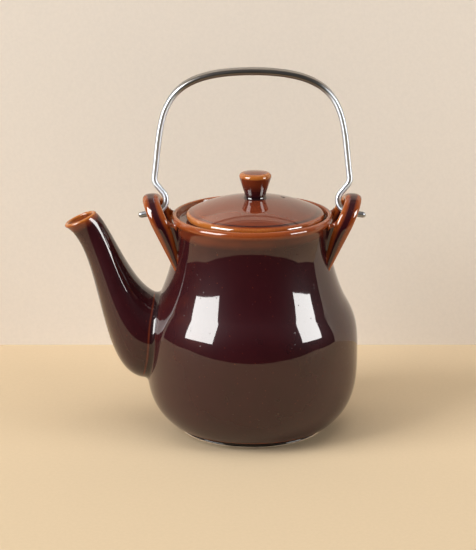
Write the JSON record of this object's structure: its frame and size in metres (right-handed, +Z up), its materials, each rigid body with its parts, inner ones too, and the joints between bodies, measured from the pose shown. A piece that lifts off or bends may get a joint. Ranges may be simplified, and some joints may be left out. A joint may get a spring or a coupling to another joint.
{
  "type": "teapot",
  "caption": "Glazed ceramic teapot with a round belly, a tapering spout, a lift-off domed lid with a knob, strap ears and a swinging steel bail handle.",
  "frame": {"origin": "middle of the foot, on the surface that the pot stands on", "axes": "+Z up along the pot's axis, -X towards the spout, +Y away from the side that the picture shows"},
  "size_m": [0.1978, 0.1416, 0.242],
  "materials": {
    "glaze_dark": "gloss glaze, aubergine brown, amber where it breaks over edges",
    "glaze_rust": "gloss glaze, rust brown, amber where it breaks over edges",
    "steel": "satin stainless steel"
  },
  "bodies": {
    "pot": {"pot_body": "glaze_dark", "spout": "glaze_dark", "spout_ear": "glaze_rust", "back_ear": "glaze_rust"},
    "lid": {"lid": "glaze_rust", "lid_knob": "glaze_rust"},
    "bail": {"bail_handle": "steel"}
  },
  "joints": [
    {"name": "lid_lift", "type": "slide", "parent": "pot", "child": "lid", "axis": [0, 0, 1], "range_m": [0, 0.05]},
    {"name": "bail_swing", "type": "hinge", "parent": "pot", "child": "bail", "pos_m": [0, 0, 0.155], "axis": [1, 0, 0], "range_deg": [-40, 40]}
  ]
}
